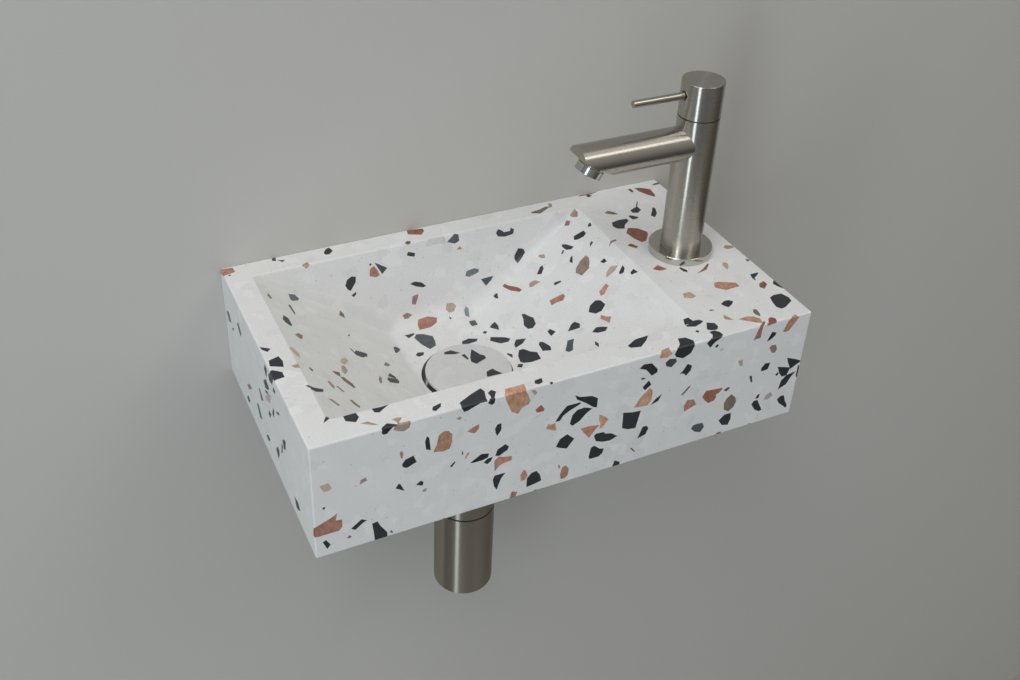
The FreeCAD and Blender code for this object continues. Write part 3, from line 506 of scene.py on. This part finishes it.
def cement():
    """The white cement: pale clouds, faint ghosts of white and grey chips below the skin, and sand specks.
    It has painted shade in the bowl's valleys: faces turned into their folds are drawn a little greyer."""
    material, tree, sockets = finish_of("white_cement", Specular_IOR_Level=plain_polish)
    where = node(tree, "TexCoord").outputs["Object"]
    tone = node(tree, "Attribute", attribute_name="chip_tone").outputs["Fac"]
    stone = placed(tree, stone_grain, {
        "Colour": paint(*cement_colour),
        "Vein Colour": paint(*cement_cloud),
        "Cloud Share": 0.22,
        "Band Share": 0.0,
        "Cloud Scale": 42.0,
        "Tone": tone,
    })
    bent = node(tree, "TexNoise", {"Vector": where, "Scale": 260.0, "Detail": 2.0}).outputs["Color"]
    bent = node(tree, "VectorMath", {0: where, 1: scaled(tree, bent, 6 * mm)}, operation="ADD").outputs[0]
    ghosts = node(tree, "TexVoronoi", {"Vector": bent, "Scale": 120.0})
    cell = node(tree, "SeparateColor", {0: ghosts.outputs["Color"]})
    light_ghost = ranged(tree, cell.outputs[0], 0.86, 0.90, 1.0, 1.05)
    dark_ghost = ranged(tree, cell.outputs[1], 0.92, 0.96, 1.0, 0.95)
    ghost = calc(tree, "MULTIPLY", light_ghost, dark_ghost)
    # Painted shade: the cement is drawn greyer where it faces into the bowl's valleys.
    facing = node(tree, "TexCoord").outputs["Normal"]
    facing = node(tree, "VectorMath", {0: facing}, operation="ABSOLUTE").outputs[0]
    in_valley = node(tree, "VectorMath", {0: facing, 1: valley_facing}, operation="DOT_PRODUCT")
    valley_shade = ranged(tree, in_valley.outputs["Value"], 0.84, 1.0, 1.0, valley_painted_shade)
    colour = scaled(tree, stone["Colour"], calc(tree, "MULTIPLY", ghost, valley_shade))
    sand = node(tree, "TexVoronoi", {"Vector": where, "Scale": 420.0})
    pick = node(tree, "SeparateColor", {0: sand.outputs["Color"]}).outputs[0]
    speck = calc(
        tree,
        "MULTIPLY",
        ranged(tree, sand.outputs["Distance"], 0.20, 0.28, 0.45, 0.0),
        ranged(tree, pick, 0.95, 0.97, 0.0, 1.0),
    )
    colour = mixed(tree, speck, colour, paint(*cement_speck))
    feed(tree, sockets, colour, stone["Roughness"], stone["Height"], strength=0.10, depth=0.08 * mm)
    return material


def cut_stone(name, colour, vein):
    """A chip's own stone, ground flush with the cement. The dark stones take a higher polish."""
    polish = dark_polish if name in dark_stones else plain_polish
    material, tree, sockets = finish_of(name + "_chip", Specular_IOR_Level=polish)
    tone = node(tree, "Attribute", attribute_name="chip_tone").outputs["Fac"]
    stone = placed(tree, stone_grain, {
        "Colour": paint(*colour),
        "Vein Colour": paint(*vein),
        "Cloud Share": 0.50,
        "Band Share": 0.24,
        "Cloud Scale": 190.0,
        "Tone": tone,
    })
    feed(tree, sockets, stone["Colour"], stone["Roughness"], stone["Height"], strength=0.06, depth=0.06 * mm)
    return material


terrazzo = [cement()] + [cut_stone(name, colour, vein) for name, (colour, vein, share) in chip_stones.items()]
chip_number = {name: number + 1 for number, name in enumerate(chip_stones)}


class Side:
    """A face of the piece that chips are drawn on: the directions of the drawing's two axes and of the
    face's outside, the levels between which the face lies, and how squarely it has to face that way."""

    def __init__(self, across, up, out, low, high, facing=0.3):
        self.across, self.up, self.out = Vector(across), Vector(up), Vector(out)
        self.low, self.high, self.facing = low * mm, high * mm, facing

    def faces(self, work):
        found = []
        for face in work.faces:
            level = face.calc_center_median().dot(self.out)
            if self.low < level < self.high and face.normal.dot(self.out) > self.facing:
                found.append((face, self.extent(face)))
        return found

    def extent(self, face):
        a = [v.co.dot(self.across) for v in face.verts]
        b = [v.co.dot(self.up) for v in face.verts]
        return min(a), max(a), min(b), max(b)

    def place(self, point):
        return self.across * point[0] + self.up * point[1]


def outlines(text):
    """The chips of one colour: a line of text each, with its corners as pairs of millimetres. They are drawn
    along the inside of a chip's edge, so each corner is set out from the middle by the edge's width."""
    for line in text.strip().splitlines():
        corners = [Vector([float(x) for x in corner.split(",")]) for corner in line.split()]
        middle = sum(corners, Vector((0, 0))) / len(corners)
        yield [tuple((corner + (corner - middle).normalized() * edge_width) * mm) for corner in corners]


def turn(a, b, c):
    """How the path from a over b to c turns: above zero to the left, below zero to the right."""
    return (b[0] - a[0]) * (c[1] - b[1]) - (b[1] - a[1]) * (c[0] - b[0])


def convex_pieces(outline):
    """The outline itself, anticlockwise, where it bulges all round, and else triangles that fill it."""
    count = len(outline)
    area = sum(turn((0, 0), outline[i - 1], outline[i]) for i in range(count))
    if area < 0:
        outline = outline[::-1]
    if all(turn(outline[i - 2], outline[i - 1], outline[i]) >= 0 for i in range(count)):
        return [outline]
    flat = [Vector((x, y, 0)) for x, y in outline]
    pieces = []
    for corners in tessellate_polygon([flat]):
        a, b, c = (outline[i] for i in corners)
        pieces.append([a, b, c] if turn(a, b, c) > 0 else [c, b, a])
    return pieces


touching = 1e-6


def sliced(faces, point, normal):
    """Cuts these faces, which all bulge outward, along a plane and returns all that they became."""
    for edge in dict.fromkeys(e for f in faces for e in f.edges):
        start, end = edge.verts
        from_start, from_end = (start.co - point).dot(normal), (end.co - point).dot(normal)
        if min(from_start, from_end) < -touching and max(from_start, from_end) > touching:
            bmesh.utils.edge_split(edge, start, from_start / (from_start - from_end))
    parts = list(faces)
    for face in faces:
        away = [((v.co - point).dot(normal), v) for v in face.verts]
        met = [v for distance, v in away if abs(distance) <= touching]
        spread = [distance for distance, v in away]
        if len(met) == 2 and min(spread) < -touching and max(spread) > touching:
            parts.append(bmesh.utils.face_split(face, *met)[0])
    return parts


def inlay(work, side, chips, draw):
    """Cuts each outline into the faces of a side and gives what lies inside the stone's number and a tone."""
    tone = work.faces.layers.float["chip_tone"]
    held = side.faces(work)
    for colour, text in chips.items():
        for outline in outlines(text) if isinstance(text, str) else text:
            shade = draw.random()
            for piece in convex_pieces(outline):
                low_a, high_a = min(p[0] for p in piece), max(p[0] for p in piece)
                low_b, high_b = min(p[1] for p in piece), max(p[1] for p in piece)
                near = [
                    (face, extent) for face, extent in held
                    if extent[0] < high_a and extent[1] > low_a and extent[2] < high_b and extent[3] > low_b
                ]
                inside = [face for face, extent in near]
                touched = dict.fromkeys(inside)
                for start, end in zip(piece, piece[1:] + piece[:1]):
                    if not inside:
                        break
                    point = side.place(start)
                    normal = side.place((end[1] - start[1], start[0] - end[0])).normalized()
                    parts = sliced(inside, point, normal)
                    touched.update(dict.fromkeys(parts))
                    inside = [f for f in parts if (f.calc_center_median() - point).dot(normal) < 0]
                for face in inside:
                    face.material_index = chip_number[colour]
                    face[tone] = shade
                old = {face for face, extent in near}
                held = [entry for entry in held if entry[0] not in old]
                held.extend((face, side.extent(face)) for face in touched if face.is_valid)


def scattered(draw, low, high, count):
    """Chips strewn by chance over a rectangle, in the mix's own shares, as outlines by colour."""
    smallest, usual, largest = 1.2, 2.4, 7.0
    names = list(chip_stones)
    shares = [share for colour, vein, share in chip_stones.values()]
    chips = {name: [] for name in names}
    for chip in range(count):
        name = draw.choices(names, shares)[0]
        middle = draw.uniform(low[0], high[0]), draw.uniform(low[1], high[1])
        reach = min(largest, smallest + draw.expovariate(1 / usual))
        narrow, tilt = draw.uniform(0.35, 0.9), draw.uniform(0, math.pi)
        corners = draw.randint(4, 7)
        outline = []
        for corner in range(corners):
            angle = (corner + draw.uniform(-0.3, 0.3)) * 2 * math.pi / corners
            far = reach * draw.uniform(0.75, 1.15)
            x, y = far * math.cos(angle), far * narrow * math.sin(angle)
            outline.append((
                (middle[0] + x * math.cos(tilt) - y * math.sin(tilt)) * mm,
                (middle[1] + x * math.sin(tilt) + y * math.cos(tilt)) * mm,
            ))
        chips[name].append(outline)
    return chips


def stone_block(node_name, cement_tone):
    """A copy of the block's own surface, ready to be cut. Each corner keeps the true surface's direction."""
    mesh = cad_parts[node_name].data.copy()
    mesh.name = "terrazzo_" + node_name
    directions = [0.0] * (3 * len(mesh.loops))
    mesh.corner_normals.foreach_get("vector", directions)
    mesh.attributes.new("surface_direction", "FLOAT_VECTOR", "CORNER").data.foreach_set("vector", directions)
    work = bmesh.new()
    work.from_mesh(mesh)
    bmesh.ops.remove_doubles(work, verts=work.verts, dist=touching)
    tone = work.faces.layers.float.new("chip_tone")
    for face in work.faces:
        face[tone] = cement_tone
    return mesh, work


def set_block(mesh, work, node_name, body):
    """Puts the cut surface in the block's place, with the stones' finishes and the true surface's shading."""
    mesh.materials.clear()
    for stone in terrazzo:
        mesh.materials.append(stone)
    work.to_mesh(mesh)
    work.free()
    directions = mesh.attributes["surface_direction"]
    mesh.normals_split_custom_set([Vector(d.vector).normalized() for d in directions.data])
    mesh.attributes.remove(mesh.attributes["surface_direction"])
    block = bpy.data.objects.new(mesh.name, mesh)
    bpy.context.scene.collection.objects.link(block)
    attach(block, body)
    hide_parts(node_name)


basin_low, basin_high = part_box("basin")
half_width, basin_depth = round(basin_high.x / mm, 3), round(-basin_low.y / mm, 3)
basin_top, basin_bottom = round(basin_high.z / mm, 3), round(basin_low.z / mm, 3)
arris = 2.0
cutting_pitch = 12.0

# A grid of cuts first leaves the faces small, so that the outline of a chip meets only a few of them.
basin_mesh, basin_work = stone_block("basin", cement_tone=0.5)
for axis, low, high in zip(Matrix.Identity(3), basin_low / mm, basin_high / mm):
    for step in range(1, int((high - low) / cutting_pitch) + 1):
        cut = axis * (low + step * cutting_pitch) * mm
        everything = [*basin_work.verts, *basin_work.edges, *basin_work.faces]
        bmesh.ops.bisect_plane(basin_work, geom=everything, dist=touching, plane_co=cut, plane_no=axis)

# The faces of a flat side lie from an arris below its plane to just past it.
right, back, top = Vector((1, 0, 0)), Vector((0, 1, 0)), Vector((0, 0, 1))
past = 1.0
front_side = Side(right, top, -back, basin_depth - arris, basin_depth + past)
rim_side = Side(right, back, top, basin_top - arris, basin_top + past)
bowl_side = Side(right, back, top, low=-10, high=basin_top - 0.1)
bowl_back_side = Side(right, top, -back, low=16, high=36)
bowl_front_side = Side(right, top, back, low=-188, high=-165)
left_side = Side(back, top, -right, half_width - arris, half_width + past)
right_side = Side(back, top, right, half_width - arris, half_width + past)
back_side = Side(right, top, back, -arris, past)
under_side = Side(right, back, -top, -basin_top, -basin_bottom + past, facing=0.6)

# Scattered chips keep clear of the arrises. In the bowl they cover its front side, in x and z.
ends = half_width - arris
front_edge, wall_edge = arris - basin_depth, -arris
lower_edge, upper_edge = basin_bottom + arris, basin_top - arris
bowl_front_low, bowl_front_high = (-150, 0), (90, 58)

draw = random.Random(7)
inlay(basin_work, front_side, front_chips, draw)
inlay(basin_work, rim_side, rim_chips, draw)
inlay(basin_work, bowl_side, bowl_chips, draw)
inlay(basin_work, bowl_back_side, bowl_back_chips, draw)
inlay(basin_work, left_side, left_chips, draw)
bowl_front_chips = scattered(draw, bowl_front_low, bowl_front_high, count=42)
inlay(basin_work, bowl_front_side, bowl_front_chips, draw)
right_chips = scattered(draw, (front_edge, lower_edge), (wall_edge, upper_edge), count=62)
inlay(basin_work, right_side, right_chips, draw)
back_chips = scattered(draw, (-ends, lower_edge), (ends, upper_edge), count=110)
inlay(basin_work, back_side, back_chips, draw)
under_chips = scattered(draw, (-ends, front_edge), (ends, wall_edge), count=200)
inlay(basin_work, under_side, under_chips, draw)
set_block(basin_mesh, basin_work, "basin", "basin_set")

# Waste cover: a thin disc of the same terrazzo that hides the waste. It is bonded to a steel carrier whose
# stem stands in the waste, and both lift out together for cleaning.
cover_chips = {
    "charcoal": """
        -25.5,-92.5 -24,-87.5 -19.5,-79 -17.5,-83.5 -16.5,-87 -14,-89 -14,-92.5 -23,-96
        -29,-82.5 -26.5,-82.5 -26,-87.5 -27,-89.5 -28,-86
        -40,-77 -39,-74.5 -34,-74.5 -29,-79.5 -33,-79.5
        -22,-112 -20,-107.5 -15,-106 -13.5,-109.5 -10.5,-113.5 -21.5,-113""",
}
cover_front_low, cover_front_high = (-52, -130), (-12, -116)
cover_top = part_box("waste_cover")[1].z / mm
cover_mesh, cover_work = stone_block("waste_cover", cement_tone=0.14)
cover_side = Side(right, back, top, cover_top - arris, cover_top + past)
inlay(cover_work, cover_side, cover_chips, draw)
inlay(cover_work, cover_side, scattered(draw, cover_front_low, cover_front_high, count=5), draw)
set_block(cover_mesh, cover_work, "waste_cover", "cover")

# Waste: a pressed steel cup seated in the basin's floor on a rubber ring, drawn down by a brass nut over a
# gasket and a plastic washer below. The cover's carrier stands in it.
def dress(material, *nodes):
    for name in nodes:
        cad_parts[name].data.materials[0] = material


# Turned metal: fine lines around the axis that it was turned or brushed about, with faint smears across them.
turned_lines, given, put = group(
    "turned_lines",
    {"Bright": "Color", "Dull": "Color", "Pitch": "Vector", "Smooth": "Float", "Rough": "Float"},
    surface,
)
where = node(turned_lines, "TexCoord").outputs["Object"]
drawn_out = node(turned_lines, "VectorMath", {0: where, 1: given["Pitch"]}, operation="MULTIPLY").outputs[0]
lines = node(turned_lines, "TexNoise", {"Vector": drawn_out, "Scale": 1.0, "Detail": 5.0, "Roughness": 0.7})
lines = ranged(turned_lines, lines.outputs[0], 0.32, 0.68, 0.0, 1.0)
smears = node(turned_lines, "TexNoise", {"Vector": where, "Scale": 55.0, "Detail": 3.0}).outputs[0]
smears = ranged(turned_lines, smears, 0.35, 0.65, -0.5, 0.5)
wear = node(turned_lines, "Math", {0: smears, 1: 0.15, 2: lines}, operation="MULTIPLY_ADD").outputs[0]
turned_lines.links.new(mixed(turned_lines, wear, given["Bright"], given["Dull"]), put["Colour"])
roughness = ranged(turned_lines, wear, 0.0, 1.0, given["Smooth"], given["Rough"])
turned_lines.links.new(roughness, put["Roughness"])
turned_lines.links.new(lines, put["Height"])


def turned_metal(name, bright, dull, axis, smooth, rough, relief, spread):
    """Metal turned about an axis. spread draws highlights out across the lines, as brushing does."""
    quarter_turn = 0.25
    brushed = {"Metallic": 1.0, "Anisotropic": spread, "Anisotropic_Rotation": quarter_turn}
    material, tree, sockets = finish_of(name, **brushed)
    fine, slow = 16000.0, 30.0
    pitch = [fine if letter == axis else slow for letter in "XYZ"]
    metal = placed(tree, turned_lines, {
        "Bright": paint(*bright),
        "Dull": paint(*dull),
        "Pitch": pitch,
        "Smooth": smooth,
        "Rough": rough,
    })
    feed(tree, sockets, metal["Colour"], metal["Roughness"], metal["Height"], relief, depth=0.04 * mm)
    around = node(tree, "Tangent", direction_type="RADIAL", axis=axis)
    tree.links.new(around.outputs[0], sockets["Tangent"])
    return material


polished_steel = turned_metal(
    "polished_steel", (205, 202, 196), (190, 187, 180), "Z", smooth=0.10, rough=0.18, relief=0.02, spread=0.3
)
turned_brass = turned_metal(
    "turned_brass", (206, 172, 108), (178, 140, 80), "Z", smooth=0.22, rough=0.36, relief=0.08, spread=0.4
)

# Moulded goods: a faint bloom and an even fine texture from the mould.
moulded_skin, given, put = group(
    "moulded_skin",
    {"Colour": "Color", "Bloom": "Color", "Smooth": "Float", "Rough": "Float"},
    surface,
)
where = node(moulded_skin, "TexCoord").outputs["Object"]
bloom = node(moulded_skin, "TexNoise", {"Vector": where, "Scale": 130.0, "Detail": 4.0}).outputs[0]
bloom = ranged(moulded_skin, bloom, 0.35, 0.7, 0.0, 1.0)
pores = node(moulded_skin, "TexNoise", {"Vector": where, "Scale": 2600.0, "Detail": 2.0}).outputs[0]
moulded_skin.links.new(mixed(moulded_skin, bloom, given["Colour"], given["Bloom"]), put["Colour"])
roughness = ranged(moulded_skin, pores, 0.3, 0.7, given["Smooth"], given["Rough"])
moulded_skin.links.new(roughness, put["Roughness"])
moulded_skin.links.new(pores, put["Height"])


def moulded(name, colour, bloom, smooth, rough, relief):
    material, tree, sockets = finish_of(name)
    skin = placed(tree, moulded_skin, {
        "Colour": paint(*colour),
        "Bloom": paint(*bloom),
        "Smooth": smooth,
        "Rough": rough,
    })
    feed(tree, sockets, skin["Colour"], skin["Roughness"], skin["Height"], relief, depth=0.05 * mm)
    return material


black_rubber = moulded("black_rubber", (30, 30, 31), (46, 46, 46), smooth=0.55, rough=0.8, relief=0.25)
white_plastic = moulded("white_plastic", (214, 213, 208), (204, 202, 196), smooth=0.35, rough=0.5, relief=0.1)
dress(polished_steel, "waste_body", "cover_carrier")
dress(turned_brass, "waste_nut")
dress(black_rubber, "waste_top_seal", "waste_gasket", "cover_buffer")
dress(white_plastic, "waste_washer")

# Bottle trap: brushed stainless tube of the tap's steel, drawn darker and a little warmer as painted shade
# under the basin. A nut joins its dip tube to the waste, the cup below unscrews for cleaning, and a pipe runs
# from its side into the wall through a rosette.
def painted_shade_trap_steel(name, axis):
    # Painted shade: the tap's steel colours, drawn darker for the shade under the basin.
    bright, dull = (170, 164, 151), (166, 160, 147)
    return turned_metal(name, bright, dull, axis, smooth=0.31, rough=0.325, relief=0.004, spread=1.0)


brushed_trap_shaded = painted_shade_trap_steel("brushed_steel_trap_painted_shade", "Z")
brushed_outlet_shaded = painted_shade_trap_steel("brushed_steel_outlet_painted_shade", "Y")
dress(brushed_trap_shaded, "inlet_nut", "dip_tube", "trap_head", "trap_cup")
dress(brushed_outlet_shaded, "outlet_pipe", "outlet_nut", "wall_rosette")
dress(black_rubber, "inlet_seal", "head_ring", "cup_seal", "outlet_seal")

# Tap: a brushed stainless pillar on a polished flange, held under the deck by a brass shank, nut and washer.
# The spout is brushed tube with its end cut at a slant, and a small aerator hangs below it.
def tap_steel(name, axis, smooth, rough, relief, spread):
    bright, dull = (184, 180, 171), (180, 176, 167)
    return turned_metal(name, bright, dull, axis, smooth, rough, relief, spread)


brushed_upright = tap_steel("brushed_steel_upright", "Z", smooth=0.27, rough=0.285, relief=0.004, spread=0.92)
brushed_spout = tap_steel("brushed_steel_spout", "X", smooth=0.27, rough=0.285, relief=0.004, spread=0.85)
dress(brushed_upright, "tap_body")
dress(brushed_spout, "spout")
dress(polished_steel, "tap_flange", "aerator_housing", "shank_washer")
dress(turned_brass, "tap_shank", "shank_nut")
dress(black_rubber, "base_seal", "shank_gasket", "aerator_washer")
dress(white_plastic, "aerator_insert")

# Valve and handle: a brass cartridge with two ceramic discs in the pillar. The brushed head with its thin
# lever turns on a plastic glide ring and is held on the spindle by a grub screw.
dark_plastic = moulded("dark_plastic", (38, 38, 40), (48, 48, 50), smooth=0.45, rough=0.6, relief=0.1)
white_ceramic = moulded(
    "white_ceramic", (232, 231, 227), (224, 223, 220), smooth=0.12, rough=0.2, relief=0.02
)
fine_brushed = tap_steel("fine_brushed_steel", "X", smooth=0.14, rough=0.20, relief=0.008, spread=0.6)
dress(turned_brass, "cartridge_body", "cartridge_nut", "spindle")
dress(white_ceramic, "fixed_disc", "moving_disc")
dress(black_rubber, "cartridge_seal")
dress(dark_plastic, "glide_ring")
dress(brushed_upright, "handle_head")
dress(fine_brushed, "lever")
dress(polished_steel, "grub_screw")

# Studio: a plain painted wall behind the basin, left open where the basin's back lies against it, and a pale
# floor far below. Seen from behind, both are clear.
wall_colour = (193, 191, 186)
floor_colour = (170, 168, 164)
wall_gap = 0.3 * mm
wall_inset = 1.2 * mm
wall_reach = 2.2
floor_level = -1.0
floor_reach, floor_depth = 1.3, 1.25


def one_sided(name, colour):
    flat = {"Roughness": 0.9, "Specular_IOR_Level": 0.2}
    material, tree, sockets = finish_of(name, Base_Color=paint(*colour), **flat)
    clear = node(tree, "BsdfTransparent")
    behind = calc(
        tree,
        "MULTIPLY",
        node(tree, "NewGeometry").outputs["Backfacing"],
        node(tree, "LightPath").outputs["Is Camera Ray"],
    )
    shader = tree.nodes["Principled BSDF"]
    either = node(tree, "MixShader", {0: behind, 1: shader.outputs[0], 2: clear.outputs[0]})
    tree.links.new(either.outputs[0], tree.nodes["Material Output"].inputs["Surface"])
    return material


def backdrop(name, corners, faces, material):
    mesh = bpy.data.meshes.new(name)
    mesh.from_pydata(corners, [], faces)
    mesh.materials.append(material)
    panel = bpy.data.objects.new(name, mesh)
    bpy.context.scene.collection.objects.link(panel)


wall_outer = (-wall_reach, wall_reach, floor_level, wall_reach)
wall_inner = (
    basin_low.x + wall_inset,
    basin_high.x - wall_inset,
    basin_low.z + wall_inset,
    basin_high.z - wall_inset,
)
wall_corners = [
    (x, wall_gap, z)
    for low_x, high_x, low_z, high_z in (wall_outer, wall_inner)
    for x, z in ((low_x, low_z), (high_x, low_z), (high_x, high_z), (low_x, high_z))
]
wall_faces = [(i, (i + 1) % 4, 4 + (i + 1) % 4, 4 + i) for i in range(4)]
backdrop("studio_wall", wall_corners, wall_faces, one_sided("studio_wall", wall_colour))
floor_corners = [
    (-floor_reach, -floor_depth, floor_level),
    (floor_reach, -floor_depth, floor_level),
    (floor_reach, wall_gap, floor_level),
    (-floor_reach, wall_gap, floor_level),
]
backdrop("studio_floor", floor_corners, [(0, 1, 2, 3)], one_sided("studio_floor", floor_colour))

# Lights: a long panel under the ceiling at the left, a tall narrow one at the front left that draws the
# upright streaks on the steel, and two small ones at the right that draw the streaks along spout and lever.
plain_white, cool_white, warm_white = (1.0, 0.985, 0.975), (0.80, 0.92, 1.0), (1.0, 0.975, 0.945)
part_middle = (0.1, -0.1, 0.1)


def soft_light(name, place, target, width, height, watts, tint):
    lamp = bpy.data.lights.new(name, "AREA")
    lamp.shape = "RECTANGLE"
    lamp.size, lamp.size_y, lamp.energy, lamp.color = width, height, watts, tint
    holder = bpy.data.objects.new(name, lamp)
    holder.location = place
    holder.rotation_euler = (Vector(target) - Vector(place)).to_track_quat("-Z", "Y").to_euler()
    bpy.context.scene.collection.objects.link(holder)


soft_light(
    "ceiling_light", place=(-1.1, -0.35, 1.9), target=(-0.8, -0.3, 0),
    width=2.8, height=0.7, watts=34.8, tint=plain_white,
)
soft_light(
    "window_light", place=(-1.42, -1.48, 0.3), target=(0.14, -0.1, 0.1),
    width=0.36, height=2.4, watts=12.9, tint=cool_white,
)
soft_light(
    "corner_light", place=(0.86, -1.3, 1.55), target=part_middle,
    width=0.75, height=0.45, watts=3.4, tint=warm_white,
)
soft_light(
    "deck_light", place=(1.0, -0.6, 1.6), target=part_middle,
    width=0.6, height=1.0, watts=1.25, tint=warm_white,
)

# Sky: a soft glow all round, brightest at the front and above, cool at the left and warm at the right.
world = bpy.data.worlds.new("studio")
bpy.context.scene.world = world
world.use_nodes = True
sky = world.node_tree
aim = node(sky, "SeparateXYZ", {0: node(sky, "TexCoord").outputs["Generated"]}).outputs
from_front = ranged(sky, aim["Y"], -0.9, 0.3, 1.0, 0.35)
from_above = ranged(sky, aim["Z"], -0.4, 0.7, 0.15, 0.85)
to_right = ranged(sky, aim["X"], -0.5, 0.6, 0.0, 1.0)
cool_sky, warm_sky = (0.60, 0.66, 0.73, 1.0), (0.68, 0.64, 0.57, 1.0)
tint = mixed(sky, to_right, cool_sky, warm_sky)
sky.links.new(calc(sky, "MULTIPLY", from_front, from_above), sky.nodes["Background"].inputs["Strength"])
sky.links.new(tint, sky.nodes["Background"].inputs["Color"])

# Camera: at the photograph's viewpoint. Its focal length, and the point where its axis meets the picture, are
# in the photograph's pixels.
picture_width, picture_height = 1020, 680
focal_pixels = 1146.1
axis_pixel_x, axis_pixel_y = 496.4, 281.2
eye = Vector((-0.3060, -0.6918, 0.5078))
picture_right = Vector((0.9046, -0.4248, 0.0339)).normalized()
ahead = Vector((0.3714, 0.7469, -0.5515)).normalized()
picture_up = picture_right.cross(ahead).normalized()
lens = bpy.data.cameras.new("photo_camera")
lens.sensor_width = 36.0
lens.lens = focal_pixels / picture_width * lens.sensor_width
lens.shift_x = (picture_width / 2 - axis_pixel_x) / picture_width
lens.shift_y = (axis_pixel_y - picture_height / 2) / picture_width
lens.clip_start = 0.01
camera = bpy.data.objects.new("photo_camera", lens)
aimed = Matrix((picture_right, picture_up, -ahead)).transposed().to_4x4()
camera.matrix_world = Matrix.Translation(eye) @ aimed
bpy.context.scene.collection.objects.link(camera)
bpy.context.scene.camera = camera
bpy.context.scene.view_settings.view_transform = "Standard"
